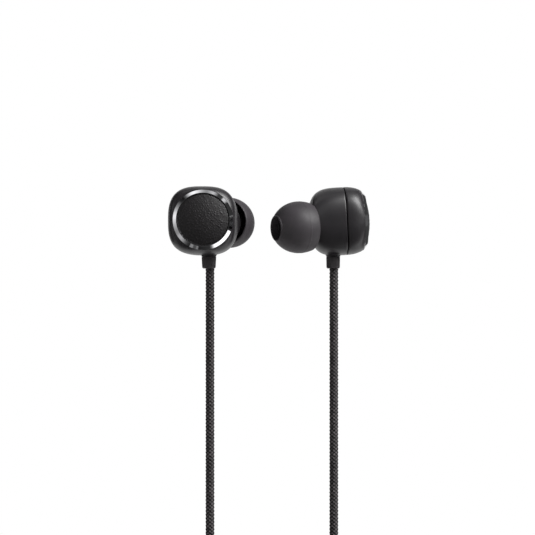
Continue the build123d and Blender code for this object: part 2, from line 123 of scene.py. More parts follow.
# The turns of one tied coil, row by row, wound inwards and then outwards.
def coilTurns(coil):
    rows, turns = coil["rows"], []
    for i in range(coil["points"] + 1):
        along = i / coil["points"] * len(rows)
        row = min(int(along), len(rows) - 1)
        inward = along - row if row % 2 == 0 else 1 - (along - row)
        radius = (coil["outer"] + (coil["inner"] - coil["outer"]) * inward) * controlReach
        height = rows[0]
        for n in range(1, len(rows)):
            height += (rows[n] - rows[n - 1]) * smoothStep((along - n) / hopShare + 0.5)
        angle = math.radians(coil["start"] + coil["sweep"] * i / coil["points"])
        turns.append((radius * math.cos(angle), height, coil["centre"] + radius * math.sin(angle)))
    return turns


cords = {
    "right_cord_braid": {
        "radius": 0.0010, "length": 0.377, "fine": 88 * mm, "around": 40, "exit": (-0.01486, 0, -0.0114),
        "farEnd": "fitting", "replaces": ("right_cord", "right_cord_coil", "right_cord_end"),
        "pieces": ("splitter_front",),
        "route": [(-0.01486, 0, -0.0095), (-0.01486, 0, -0.080), (-0.01486, -0.0006, -0.092)]
        + coilTurns(rightCoil)
        + [(-0.0013, -0.0020, -0.1152), (-0.0013, 0, -0.1222), (-0.0013, 0, -0.132)]},
    "left_cord_braid": {
        "radius": 0.0010, "length": 0.377, "fine": 88 * mm, "around": 40, "exit": (0.01486, 0, -0.0114),
        "farEnd": "fitting", "replaces": ("left_cord", "left_cord_coil", "left_cord_end"),
        "pieces": ("splitter_back",),
        "route": [(0.01486, 0, -0.0095), (0.01486, 0, -0.080), (0.01486, 0.0006, -0.092)]
        + coilTurns(leftCoil)
        + [(0.0013, 0.0020, -0.1152), (0.0013, 0, -0.1222), (0.0013, 0, -0.132)]},
    "main_cord_braid": {
        "radius": 0.00115, "length": 0.74, "fine": 0.0, "around": 32, "exit": (0, 0, -0.149),
        "farEnd": "plug", "replaces": ("main_cord_loop", "main_cord_coil", "main_cord_end"),
        "pieces": ("plug_relief", "plug_housing", "plug_sleeve", "plug_insulators", "plug_ring", "plug_tip"),
        "route": [(0, 0, -0.139), (0, 0, -0.146), (0, 0, -0.1532), (-0.0048, 0.00165, -0.1583),
                  (-0.0116, 0.00397, -0.1583), (-0.0164, 0.0056, -0.1532), (-0.0160, 0.00565, -0.126),
                  (-0.0147, 0.00565, -0.104)]
        + coilTurns(mainCoil)
        + [(0.0146, 0.0130, -0.104), (0.0146, 0.0130, -0.119)]},
}


# The smooth line along a route, read off its own spline.
def routeLine(name, route):
    curve = bpy.data.curves.new(name, "CURVE")
    curve.dimensions = "3D"
    curve.resolution_u = 24
    spline = curve.splines.new("NURBS")
    spline.points.add(len(route) - 1)
    for point, place in zip(spline.points, route):
        point.co = (*place, 1)
    spline.order_u = 3
    spline.use_endpoint_u = True
    holder = bpy.data.objects.new(name, curve)
    bpy.context.scene.collection.objects.link(holder)
    bpy.context.view_layer.update()
    wire = bpy.data.meshes.new_from_object(holder)
    line = np.array([vertex.co[:] for vertex in wire.vertices])
    bpy.data.objects.remove(holder)
    bpy.data.curves.remove(curve)
    bpy.data.meshes.remove(wire)
    gaps = np.linalg.norm(np.diff(line, axis=0), axis=1)
    return line[np.concatenate(([True], gaps > 1e-9))]     # without points that repeat the one before


# Height of the braid's surface: the higher of the two families of threads at each place.
def braidHeight(u, v):
    across, other = (u % 1) - 0.5, (v % 1) - 0.5
    over = np.where((np.floor(u) + np.floor(v)) % 2 == 0, 1.0, -1.0)
    first = braid["weave"] * over * np.cos(np.pi * other) + braid["crown"] * (np.cos(np.pi * across) - 1)
    second = -braid["weave"] * over * np.cos(np.pi * across) + braid["crown"] * (np.cos(np.pi * other) - 1)
    return np.maximum(first, second)


def makeCord(name, cord):
    line = routeLine(name + "_line", cord["route"])
    run = np.concatenate(([0.0], np.cumsum(np.linalg.norm(np.diff(line, axis=0), axis=1))))
    total, fine, around = run[-1], cord["fine"], cord["around"]
    stops = np.concatenate((np.arange(0, fine, braid["fineStep"]),
                            np.arange(fine, total - braid["coilStep"] / 2, braid["coilStep"]), [total]))
    heading = np.gradient(line, run, axis=0)
    centre = np.stack([np.interp(stops, run, line[:, k]) for k in range(3)], axis=1)
    along = np.stack([np.interp(stops, run, heading[:, k]) for k in range(3)], axis=1)
    along /= np.linalg.norm(along, axis=1)[:, None]
    aside = np.cross(along, (0.0, 1.0, 0.0))
    aside /= np.linalg.norm(aside, axis=1)[:, None]
    lift = np.cross(along, aside)
    turn = np.arange(around + 1) / around
    u = turn[None, :] * braid["threads"] + stops[:, None] / braid["pitch"]
    v = turn[None, :] * braid["threads"] - stops[:, None] / braid["pitch"]
    reach = cord["radius"] * (1 + braidHeight(u, v))[:, :around, None]
    angle = 2 * math.pi * turn[:around]
    spokes = (np.cos(angle)[None, :, None] * aside[:, None, :]
              + np.sin(angle)[None, :, None] * lift[:, None, :])
    places = (centre[:, None, :] + reach * spokes).reshape(-1, 3)
    rings = len(stops)
    i, j = np.meshgrid(np.arange(rings - 1), np.arange(around), indexing="ij")
    near, far = (j + 1) % around, i + 1
    quads = np.stack((i * around + j, i * around + near, far * around + near, far * around + j), axis=-1)
    faces = quads.reshape(-1, 4).tolist()
    faces.append(list(range(around))[::-1])
    faces.append([(rings - 1) * around + k for k in range(around)])
    mesh = bpy.data.meshes.new(name)
    mesh.from_pydata(places.tolist(), [], faces)
    layer = mesh.uv_layers.new(name="braid")
    corners = np.stack((np.stack((i, j), -1), np.stack((i, j + 1), -1),
                        np.stack((far, j + 1), -1), np.stack((far, j), -1)), axis=2).reshape(-1, 2)
    threads = np.stack((u[corners[:, 0], corners[:, 1]], v[corners[:, 0], corners[:, 1]]), axis=-1)
    threads = np.concatenate((threads, np.zeros((2 * around, 2))))
    layer.data.foreach_set("uv", threads.ravel())
    mesh.polygons.foreach_set("use_smooth", [True] * len(faces))
    piece = bpy.data.objects.new(name, mesh)
    bpy.context.scene.collection.objects.link(piece)
    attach(piece, "root")
    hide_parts(*cord["replaces"])
    print("cord", name, "length", round(total, 4), "faces", len(faces))


for name, cord in cords.items():
    makeCord(name, cord)


# Each bud has its own axes: nose forwards, up, and out of the ear; its middle is on the shells' seam.
bud = {"nozzleAngle": 22.0, "cordSpacing": 14.86, "reliefAhead": 1.6, "reliefBehind": 2.64,
       "aside": {"right": -0.26, "left": 0.0}, "reliefAside": {"right": 0.0, "left": 0.17},
       "nozzleMove": {"right": (0.45, 0.45), "left": (0.0, -1.0)},
       "capMove": {"right": (0.14, -0.15), "left": (0.0, 0.0)}}


def axisOf(joint):
    return Vector(joints[joint]["axis"]).normalized()


def budPlaces(side):
    out = -axisOf(side + "_diaphragm_stroke")
    nose = (axisOf(side + "_tip_pull") + math.cos(math.radians(bud["nozzleAngle"])) * out).normalized()
    up = out.cross(nose)
    up = up if up.z > 0 else -up
    level = Vector((out.x, out.y, 0)).normalized()
    cordAxis = Vector((bud["cordSpacing"] * (-1 if side == "right" else 1) + bud["aside"][side], 0, 0))
    middle = (cordAxis - bud["reliefAhead"] * nose + bud["reliefBehind"] * level) * mm

    def place(x, y, z):
        turned = Matrix((x, y, z)).transposed().to_4x4()
        return Matrix.Translation(middle) @ turned @ Matrix.Scale(mm, 4)
    return {"leaning": place(nose, up, out), "upright": place(nose, Vector((0, 0, 1)), level)}


places = {side: budPlaces(side) for side in sides}


# A point is drawn out into the outline of (radius, height) points and spun round the Z axis.
def lathe(name, outline, steps, closed=True):
    clearSelection()
    bpy.ops.mesh.primitive_circle_add(vertices=3, radius=0.1)
    piece = bpy.context.active_object
    piece.name = piece.data.name = name
    bpy.ops.object.mode_set(mode="EDIT")
    bpy.ops.mesh.select_all(action="SELECT")
    bpy.ops.mesh.merge(type="CENTER")
    corners = [Vector((radius, 0, height)) for radius, height in outline]
    bpy.ops.transform.translate(value=corners[0])
    for here, after in zip(corners, corners[1:] + corners[:1] if closed else corners[1:]):
        bpy.ops.mesh.extrude_region_move(TRANSFORM_OT_translate={"value": after - here})
    bpy.ops.mesh.select_all(action="SELECT")
    bpy.ops.mesh.spin(steps=steps, angle=2 * math.pi, center=(0, 0, 0), axis=(0, 0, 1))
    bpy.ops.mesh.select_all(action="SELECT")
    bpy.ops.mesh.remove_doubles(threshold=0.0005)
    bpy.ops.mesh.normals_make_consistent(inside=False)
    bpy.ops.object.mode_set(mode="OBJECT")
    return piece


# A flat rounded square is pulled up through (height, half width, half depth) stages along Y.
def risingBar(name, corner, stages):
    clearSelection()
    height, halfWidth, halfDepth = stages[0]
    bpy.ops.mesh.primitive_plane_add(size=2, location=(0, 0, 0), rotation=(math.radians(90), 0, 0))
    piece = bpy.context.active_object
    piece.name = piece.data.name = name
    bpy.ops.object.transform_apply(rotation=True)
    bpy.ops.object.mode_set(mode="EDIT")
    bpy.ops.mesh.select_all(action="SELECT")
    bpy.ops.transform.resize(value=(halfWidth, 1, halfDepth))
    bpy.ops.transform.translate(value=(0, height, 0))
    bpy.ops.mesh.bevel(offset=corner, segments=8, affect="VERTICES")
    last = stages[0]
    for stage in stages[1:]:
        bpy.ops.mesh.extrude_region_move(TRANSFORM_OT_translate={"value": (0, stage[0] - last[0], 0)})
        bpy.ops.transform.resize(value=(stage[1] / last[1], 1, stage[2] / last[2]),
                                 center_override=(0, stage[0], 0))
        last = stage
    bpy.ops.mesh.select_all(action="SELECT")
    bpy.ops.mesh.normals_make_consistent(inside=False)
    bpy.ops.object.mode_set(mode="OBJECT")
    return piece


def applyModifier(piece, kind, **settings):
    selectOnly(piece)
    modifier = piece.modifiers.new(kind.lower(), kind)
    for key, value in settings.items():
        setattr(modifier, key, value)
    bpy.ops.object.modifier_apply(modifier=modifier.name)


def smoothPiece(piece, angle):
    selectOnly(piece)
    bpy.ops.object.shade_smooth_by_angle(angle=math.radians(angle))


def faceOutwards(piece):
    selectOnly(piece)
    bpy.ops.object.mode_set(mode="EDIT")
    bpy.ops.mesh.select_all(action="SELECT")
    bpy.ops.mesh.normals_make_consistent(inside=False)
    bpy.ops.object.mode_set(mode="OBJECT")


# A finished piece takes its place in its mesh; a mirrored place turns the faces, so they are turned back.
def moveTo(piece, place):
    piece.data.transform(place)
    if place.determinant() < 0:
        piece.data.flip_normals()
    piece.data.update()


def settle(piece, place, body, slot, *nodes):
    moveTo(piece, place)
    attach(piece, body)
    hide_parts(*nodes)
    return piece


# Swells a round piece towards a square, by the power of the rounded square at each height.
def squareness(piece, powerAt):
    for vertex in piece.data.vertices:
        x, y, z = vertex.co
        radius, power = math.hypot(x, y), powerAt(z)
        if radius > 1e-6:
            c, s = abs(x) / radius, abs(y) / radius
            swell = (c ** power + s ** power) ** (-1 / power)
            vertex.co = (x * swell, y * swell, z)


# The outer half of a shell, from the seam to the flat face that the cap and its ring sit in. Millimetres.
outerShell = {"half": 8.17, "square": 2.9, "capFace": 4.3, "ringRadius": 7.17, "fullness": 2.35,
              "rounding": 6.0, "wall": 0.9, "capWall": 1.0, "holeRadius": 5.4, "seam": 0.125,
              "edge": 0.12, "edgeTurn": 0.3, "rows": 24, "wallRows": 5, "steps": 160, "smooth": 40}


def shoulder(height):
    s = outerShell
    along = max(height, 0) / s["capFace"]
    return s["half"] - (s["half"] - s["ringRadius"]) * along ** s["fullness"]


# The small turned edge of either half at the seam.
def seamEdge():
    s = outerShell
    turn = s["edge"] * s["edgeTurn"]
    return [(s["half"] - s["edge"], s["seam"]), (s["half"] - turn, s["seam"] + turn),
            (s["half"], s["seam"] + s["edge"])]


def makeOuterShell(side):
    s = outerShell
    outline, low = seamEdge(), s["seam"]
    for i in range(1, s["rows"] + 1):
        height = low + s["edge"] + (s["capFace"] - low - s["edge"]) * math.sin(math.pi / 2 * i / s["rows"])
        outline.append((shoulder(height), height))
    inside = s["capFace"] - s["capWall"]
    outline += [(s["holeRadius"], s["capFace"]), (s["holeRadius"], inside)]
    for i in range(s["wallRows"] + 1):
        height = inside + (low - inside) * i / s["wallRows"]
        outline.append((shoulder(height) - s["wall"], height))
    piece = lathe(side + "_shell_outer", outline, s["steps"])
    squareness(piece, lambda z: s["square"] - (s["square"] - 2) * (max(z, 0) / s["capFace"]) ** s["rounding"])
    smoothPiece(piece, s["smooth"])
    return settle(piece, places[side]["leaning"], "root", "shell_plastic", side + "_outer_shell")


# The inner half: a bowl that narrows and turns into the nozzle. Depths run from the seam towards the ear.
innerShell = {
    "half": 8.17, "square": 2.9, "rounding": 1.5, "wall": 1.3, "steps": 160, "smooth": 34,
    "end": 8.6, "closes": 9.25, "deepest": 9.05, "fullness": 4.1,       # the bowl's shape
    "lean": 0.14, "endLean": 3.6, "leanPower": 5,                       # and how its middle drifts forwards
    "lipHalf": 7.24, "lipHeight": 0.9, "lipEdge": 0.1, "mouthHalf": 6.77, "mouthDepth": 0.35,
    "nozzleOffset": 1.6, "turnStart": 7.6, "turnEnd": 9.6,
    "outside": [0.4 + 0.45 * i for i in range(15)] + [7.0, 7.25, 7.5, 7.7, 7.9, 8.05, 8.2, 8.35, 8.48],
    "neck": [(3.5, 8.62), (3.22, 8.8), (2.97, 9.05), (2.76, 9.35), (2.62, 9.6), (2.56, 9.85)],
    "nozzle": [(2.55, 10.2), (2.55, 15.3), (2.58, 15.35), (2.65, 15.42), (2.65, 15.85), (2.6, 15.92),
               (2.5, 15.946)],
    "bore": [(2.15, 15.946), (2.1, 15.9), (2.1, 15.446), (1.8, 15.446), (1.8, 8.0), (2.1, 7.5)],
    "inside": [7.3, 6.6, 5.8, 4.9, 4.0, 3.0, 2.0, 1.0, 0.4],
}


def bowlHalf(depth):
    s = innerShell
    return s["half"] * math.sqrt(1 - (min(depth, s["deepest"]) / s["closes"]) ** s["fullness"])


# Where the section at a depth along the shell's bent centre line goes, and how far it is tilted.
def sectionPlace(depth):
    s = innerShell
    angle = math.radians(bud["nozzleAngle"])
    d = max(depth, 0)
    bend = s["endLean"] * (min(d, s["end"]) / s["end"]) ** s["leanPower"]
    bowlMiddle = Vector((s["lean"] * d + bend, 0, -depth))
    t = min(d, s["turnEnd"]) / math.cos(angle) + max(d - s["turnEnd"], 0)
    nozzleMiddle = Vector((s["nozzleOffset"] + t * math.sin(angle), 0, -t * math.cos(angle)))
    share = smoothStep((depth - s["turnStart"]) / (s["turnEnd"] - s["turnStart"]))
    return bowlMiddle.lerp(nozzleMiddle, share), angle * share, share


def makeInnerShell(side):
    s = innerShell
    outline = [(s["lipHalf"] - s["lipEdge"], -s["lipHeight"]), (s["lipHalf"], s["lipEdge"] - s["lipHeight"]),
               (s["lipHalf"], outerShell["seam"])] + seamEdge()
    outline += [(bowlHalf(depth), depth) for depth in s["outside"]]
    outline += s["neck"] + s["nozzle"] + s["bore"]
    outline += [(bowlHalf(depth) - s["wall"], depth) for depth in s["inside"]]
    outline += [(s["mouthHalf"], s["mouthDepth"]), (s["mouthHalf"], -s["lipHeight"])]
    piece = lathe(side + "_shell_inner", outline, s["steps"])
    squareness(piece, lambda z: s["square"] - (s["square"] - 2)
               * (min(max(z, 0), s["end"]) / s["end"]) ** s["rounding"])
    for vertex in piece.data.vertices:
        x, y, depth = vertex.co
        middle, tilt, share = sectionPlace(depth)
        ahead, up = (step * share for step in bud["nozzleMove"][side])
        vertex.co = middle + Vector((x * math.cos(tilt) + ahead, y + up, x * math.sin(tilt)))
    faceOutwards(piece)
    moveTo(piece, places[side]["leaning"])
    stem = makeBoss(side)
    applyModifier(piece, "BOOLEAN", operation="UNION", object=stem, solver="EXACT")
    bpy.data.objects.remove(stem)
    smoothPiece(piece, s["smooth"])
    return settle(piece, Matrix.Identity(4), "root", "shell_plastic", side + "_inner_shell")


# The stem that flares from under the inner shell and carries the strain relief.
boss = {"corner": 1.02, "stages": (
    (-8.55, 1.72, 1.62), (-8.5, 1.77, 1.66), (-8.36, 1.79, 1.68), (-8.24, 1.81, 1.7), (-8.13, 1.9, 1.79),
    (-8.04, 2.02, 1.91), (-7.95, 2.16, 2.05), (-7.8, 2.3, 2.2), (-7.5, 2.42, 2.32))}
relief = {"corner": 0.95, "smooth": 40, "stages": (
    (-11.4, 1.32, 1.3), (-11.33, 1.48, 1.45), (-11.18, 1.58, 1.55), (-11.0, 1.62, 1.58), (-8.75, 1.75, 1.62),
    (-8.66, 1.74, 1.61), (-8.63, 1.64, 1.52), (-8.57, 1.64, 1.52), (-8.55, 1.58, 1.46))}


# Shifts a piece from the middle of the bud to its cord's axis.
def besideBud(piece, side):
    behind = bud["reliefBehind"] + bud["reliefAside"][side]
    piece.data.transform(Matrix.Translation((bud["reliefAhead"], 0, -behind)))


def makeBoss(side):
    piece = risingBar(side + "_boss", boss["corner"], boss["stages"])
    besideBud(piece, side)
    moveTo(piece, places[side]["upright"])
    return piece


def makeRelief(side):
    piece = risingBar(side + "_relief_sleeve", relief["corner"], relief["stages"])
    besideBud(piece, side)
    smoothPiece(piece, relief["smooth"])
    return settle(piece, places[side]["upright"], "root", "relief_rubber", side + "_strain_relief")


# Polished ring round the cap: a low foot, a bevel inwards and a narrow land.
ring = {"steps": 200, "smooth": 24, "outline": (
    (6.29, 4.3), (7.13, 4.3), (7.13, 4.35), (6.36, 5.12), (6.27, 5.12), (6.265, 5.115), (6.265, 4.32))}


def makeRing(side):
    piece = lathe(side + "_cap_ring", ring["outline"], ring["steps"])
    piece.data.transform(Matrix.Translation((*bud["capMove"][side], 0)))
    smoothPiece(piece, ring["smooth"])
    return settle(piece, places[side]["leaning"], "root", "ring_chrome", side + "_trim_ring")


# Leather stretched over the cap: pebbles of grain stand up between creases, and the edge rolls under the
# ring. The grain's warp is how it wanders, its fade how it ends at the edge, and uneven is the slack.
pad = {
    "radius": 6.25, "low": 4.75, "edge": 4.93, "dome": 1.14, "roll": 0.55, "rollDrop": 0.12, "fill": 0.9,
    "foot": (0.06, 0.04), "footTop": 0.05, "rings": 62, "steps": 264, "smooth": 60,
    "pebble": 0.42, "stretch": 0.62, "slice": 0.37, "crease": 0.06, "creaseWidth": 0.7,
    "warp": 0.35, "warpScale": 0.6, "fade": 0.3, "fadeLead": 0.02, "uneven": 0.02, "unevenScale": 0.9,
    "seed": 5,
}
noise.seed_set(pad["seed"])     # the warp would otherwise be drawn anew at each run


# How high the grain stands at a place on the cap, from 0 in a crease to 1 on a pebble.
def grainAt(x, y):
    along, across = (x + y) * math.sqrt(0.5), (x - y) * math.sqrt(0.5)
    spot = Vector((along / pad["pebble"], across / pad["pebble"] * pad["stretch"], pad["slice"]))
    spot += pad["warp"] * noise.noise_vector(spot * pad["warpScale"])
    gaps = noise.voronoi(spot, distance_metric="DISTANCE")[0]
    return smoothStep((gaps[1] - gaps[0]) / pad["creaseWidth"])


def padHeight(radius):
    ball = (pad["radius"] ** 2 + pad["dome"] ** 2) / (2 * pad["dome"])
    height = pad["edge"] + pad["dome"] - ball + math.sqrt(ball ** 2 - radius ** 2)
    return height - pad["rollDrop"] * smoothStep((radius - pad["radius"] + pad["roll"]) / pad["roll"]) ** 2


def makePad(side):
    s = pad
    inset, lift = s["foot"]
    outline = [(0, s["low"]), (s["radius"] / 2, s["low"]), (s["radius"] - inset, s["low"]),
               (s["radius"], s["low"] + lift)]
    for i in range(s["rings"] + 1):
        radius = s["radius"] * (s["rings"] - i) / s["rings"]
        outline.append((radius, padHeight(radius)))
    piece = lathe(side + "_cap_leather", outline, s["steps"], closed=False)
    grain = piece.data.attributes.new("grain", "FLOAT", "POINT")
    shares = []
    for vertex in piece.data.vertices:
        x, y, z = vertex.co
        share, inward = 0.5, s["radius"] - math.hypot(x, y)
        if z > s["low"] + s["footTop"]:
            share = grainAt(x, y)
            fade = smoothStep((inward + s["fadeLead"]) / s["fade"])
            slack = s["uneven"] * noise.noise(Vector((x, y, 0)) * s["unevenScale"])
            vertex.co.z = z + s["crease"] * (share - 1) * fade + slack * fade
        shares.append(share)
    grain.data.foreach_set("value", shares)
    piece.data.transform(Matrix.Translation((*bud["capMove"][side], 0)))
    smoothPiece(piece, s["smooth"])
    return settle(piece, places[side]["leaning"], "root", "pad_leather", side + "_leather_pad")


# Soft ear tip along the nozzle's axis: a dome and skirt turned back over a stem.
tip = {
    "bore": 2.7, "stem": 3.3, "stemStart": 10.6, "boreEnd": 14.0, "edge": 0.1, "front": 18.46,
    "widest": 6.15, "widestAt": 12.4, "reach": 6.65, "rimAt": 9.37, "rim": 5.6, "skirt": 0.4,
    "ridge": 0.015, "ridgeAt": 12.02, "ridgeHalf": 0.03, "ridgeClear": 0.09, "steps": 144, "smooth": 50,
    "rimRoll": ((-0.26, 0.03), (-0.14, 0.0), (-0.03, 0.05)),        # out and forwards from the rim
    "skirtStart": 0.2, "skirtRows": 9, "domeRows": 20, "domeEnd": 0.32,
    "mouthRoll": ((3.1, -0.15), (3.0, -0.06), (2.88, 0.0), (2.77, 0.0), (2.71, -0.08), (2.7, -0.2)),
    "fold": ((3.3, 16.4), (3.45, 16.75), (3.75, 16.9)),             # where the skirt leaves the stem inside
    "domeInside": (16.55, 16.0, 15.3, 14.6, 13.8, 13.0), "skirtInside": (12.1, 11.3, 10.5, 9.7),
}


def domeAt(t, less=0.0):
    s = tip
    return (s["widest"] - less) * math.sqrt(max(0.0, 1 - ((t - s["widestAt"]) / (s["reach"] - less)) ** 2))


def skirtAt(t, less=0.0):
    s = tip
    back = (s["widestAt"] - t) / (s["widestAt"] - s["rimAt"])
    return s["widest"] - less - (s["widest"] - s["rim"]) * back ** 2


def tipOutline():
    s = tip
    ridge, clear, edge = s["ridgeAt"], s["ridgeClear"], s["edge"]
    skirt = np.linspace(s["rimAt"] + s["skirtStart"], ridge - clear, s["skirtRows"])
    outline = [(s["rim"] + out, s["rimAt"] + onward) for out, onward in s["rimRoll"]]
    outline += [(skirtAt(t), t) for t in skirt]
    outline += [(domeAt(ridge) + s["ridge"], ridge + step) for step in (-s["ridgeHalf"], s["ridgeHalf"])]
    domeLength = s["front"] - s["domeEnd"] - ridge - clear
    turns = np.sin(np.linspace(0, math.pi / 2, s["domeRows"]))
    outline += [(domeAt(t), t) for t in ridge + clear + domeLength * turns]
    outline += [(radius, s["front"] + onward) for radius, onward in s["mouthRoll"]]
    outline += [(s["bore"], s["boreEnd"]), (s["bore"], s["stemStart"] + edge),
                (s["bore"] + edge, s["stemStart"]), (s["stem"] - edge, s["stemStart"]),
                (s["stem"], s["stemStart"] + edge), (s["stem"], s["boreEnd"])]
    outline += s["fold"]
    outline += [(domeAt(t, s["skirt"] + edge), t) for t in s["domeInside"]]
    outline += [(skirtAt(t, s["skirt"]), t) for t in s["skirtInside"]]
    return outline


# Turns a lathed piece onto the nozzle's axis, in the bud's own axes.
def ontoNozzle(piece, side):
    angle = math.radians(bud["nozzleAngle"])
    aside, lift = Vector((math.cos(angle), 0, math.sin(angle))), Vector((0, 1, 0))
    onward = Vector((math.sin(angle), 0, -math.cos(angle)))
    ahead, up = bud["nozzleMove"][side]
    start = Vector((bud["reliefAhead"] + ahead, up, 0))
    for vertex in piece.data.vertices:
        x, y, t = vertex.co
        vertex.co = start + x * aside + y * lift + t * onward
    faceOutwards(piece)
    smoothPiece(piece, tip["smooth"])


def makeTip(side):
    piece = lathe(side + "_tip_silicone", tipOutline(), tip["steps"])
    ontoNozzle(piece, side)
    return settle(piece, places[side]["leaning"], side + "_tip", "tip_silicone", side + "_ear_tip")


# Gauze pressed into the mouth of the nozzle, slightly domed.
gauzeDisc = {"steps": 64, "outline": (
    (0, 15.52), (1.0, 15.5), (1.85, 15.46), (2.08, 15.45),
    (2.08, 15.61), (1.85, 15.62), (1.0, 15.66), (0, 15.68))}


def makeGauzeDisc(side):
    piece = lathe(side + "_nozzle_gauze", gauzeDisc["outline"], gauzeDisc["steps"], closed=False)
    ontoNozzle(piece, side)
    return settle(piece, places[side]["leaning"], "root", "mesh_steel", side + "_nozzle_mesh")


for side in sides:
    made = [make(side) for make in (makeOuterShell, makeInnerShell, makeRelief, makeRing, makePad, makeTip,
                                    makeGauzeDisc)]
    print(side, "bud modelled:", sum(len(piece.data.polygons) for piece in made), "faces")


# Adds one node with its settings, socket values and incoming links. Sockets go by name or number: a colour
# Mix has its share at 0 and its two colours at 6 and 7, a Map Range its value at 0, then from and to.
def addNode(tree, kind, values=None, links=None, **settings):
    node = tree.nodes.new(kind)
    for key, value in settings.items():
        setattr(node, key, value)
    for socket, value in (values or {}).items():
        node.inputs[socket].default_value = value
    for socket, source in (links or {}).items():
        tree.links.new(source, node.inputs[socket])
    return node


# Finishes. Sizes are in millimetres: mottle is the size of the uneven patches, grain of the fine texture,
# and depth how deep the grain goes. Where the real grain is too fine to show, it is drawn coarser.
patchRange, grainRange = (0.35, 0.65), (0.3, 0.7)      # the part of each noise that is stretched to full
finishes = {
    # Moulded ABS with a spark-eroded satin texture: near black, with soft wide highlights.
    "satinAbs": {"colour": "#1c191c", "deep": "#171518", "ior": 1.52, "roughness": 0.4, "spread": 0.03,
                 "mottle": 4.0, "grain": 0.16, "depth": 0.006},
    # The same ABS from a plainer tool, for hidden plates.
    "plainAbs": {"colour": "#262627", "deep": "#1f1f20", "ior": 1.52, "roughness": 0.5, "spread": 0.06,
                 "mottle": 3.0, "grain": 0.25, "depth": 0.006},
    # Thermoplastic rubber: slightly lighter and dull.
    "dullRubber": {"colour": "#2b282a", "deep": "#242123", "ior": 1.5, "roughness": 0.62, "spread": 0.06,
                   "mottle": 1.6, "grain": 0.14, "depth": 0.008},
    # Liquid silicone, polished tool: grey black, smooth, with a broad soft sheen.
    "softSilicone": {"colour": "#312d31", "deep": "#2c292c", "ior": 1.43, "roughness": 0.56, "spread": 0.04,
                     "mottle": 3.0, "grain": 0.3, "depth": 0.003},
    # Crimped brass ferrule: warm yellow with a dull drawn surface.
    "drawnBrass": {"colour": "#d8bd78", "deep": "#b99a58", "metallic": 1.0, "roughness": 0.34, "spread": 0.08,
                   "mottle": 1.0, "grain": 0.2, "depth": 0.004},
    # Zinc-plated steel can: cool grey, faintly mottled.
    "platedSteel": {"colour": "#c3c4c6", "deep": "#a9aaad", "metallic": 1.0, "roughness": 0.3, "spread": 0.08,
                    "mottle": 1.5, "grain": 0.2, "depth": 0.003},
    # Nickel-plated neodymium: warmer than the steel and smoother.
    "platedNickel": {"colour": "#cbc6bc", "deep": "#b5b0a6", "metallic": 1.0, "roughness": 0.22,
                     "spread": 0.05, "mottle": 1.5, "grain": 0.2, "depth": 0.002},
    # Hard gold plate over brass contacts: bright and warm, with fine turning marks.
    "goldPlate": {"colour": "#f0cf85", "deep": "#e3bd6c", "metallic": 1.0, "roughness": 0.16, "spread": 0.05,
                  "mottle": 2.0, "grain": 0.1, "depth": 0.002},
    # Enamelled copper winding: orange red and glossy.
    "copperWinding": {"colour": "#c8733f", "deep": "#a85a2e", "metallic": 1.0, "roughness": 0.28,
                      "spread": 0.08, "mottle": 0.6, "grain": 0.12, "depth": 0.01},
    # Thin polyester film of the diaphragm: pale amber and glossy.
    "polyesterFilm": {"colour": "#c4bda8", "deep": "#aea78f", "ior": 1.6, "roughness": 0.25, "spread": 0.06,
                      "mottle": 1.0, "grain": 0.3, "depth": 0.002},
    # Green solder mask over glass laminate.
    "solderMask": {"colour": "#1f6a3c", "deep": "#17552f", "ior": 1.55, "roughness": 0.3, "spread": 0.08,
                   "mottle": 0.8, "grain": 0.15, "depth": 0.006},
    # Pressed acoustic felt: off white, fibrous and matt.
    "pressedFelt": {"colour": "#dcdad2", "deep": "#bdbab0", "ior": 1.45, "roughness": 0.95, "spread": 0.04,
                    "mottle": 0.3, "grain": 0.08, "depth": 0.03},
    # Enamel over fine lead wires: brick red and glossy.
    "wireEnamel": {"colour": "#a53a24", "deep": "#8c2d1b", "ior": 1.55, "roughness": 0.25, "spread": 0.05,
                   "mottle": 0.5, "grain": 0.1, "depth": 0.002},
    # Moulded rubber strap: black, a little greyer where it has been handled.
    "strapRubber": {"colour": "#282628", "deep": "#201e20", "ior": 1.5, "roughness": 0.58, "spread": 0.08,
                    "mottle": 2.2, "grain": 0.18, "depth": 0.012},
    # Black insulating rings between the plug's contacts.
    "insulatorPlastic": {"colour": "#262626", "deep": "#1e1e1e", "ior": 1.5, "roughness": 0.36,
                         "spread": 0.05, "mottle": 0.8, "grain": 0.1, "depth": 0.002},
}


def startFinish(name, finish):
    material = bpy.data.materials.new(name)
    material.use_nodes = True
    tree = material.node_tree
    tree.nodes.clear()
    shader = addNode(tree, "ShaderNodeBsdfPrincipled", {
        "Metallic": finish.get("metallic", 0.0), "IOR": finish.get("ior", 1.5)})
    addNode(tree, "ShaderNodeOutputMaterial", links={"Surface": shader.outputs[0]})
    return material, tree, shader


# Joins a finish's colour, bump and roughness to its shader; roughness is a node, or one number for it all.
def joinFinish(tree, shader, colour, bump, rough):
    tree.links.new(colour.outputs[2], shader.inputs["Base Color"])
    tree.links.new(bump.outputs[0], shader.inputs["Normal"])
    if isinstance(rough, float):
        shader.inputs["Roughness"].default_value = rough
    else:
        tree.links.new(rough.outputs[0], shader.inputs["Roughness"])


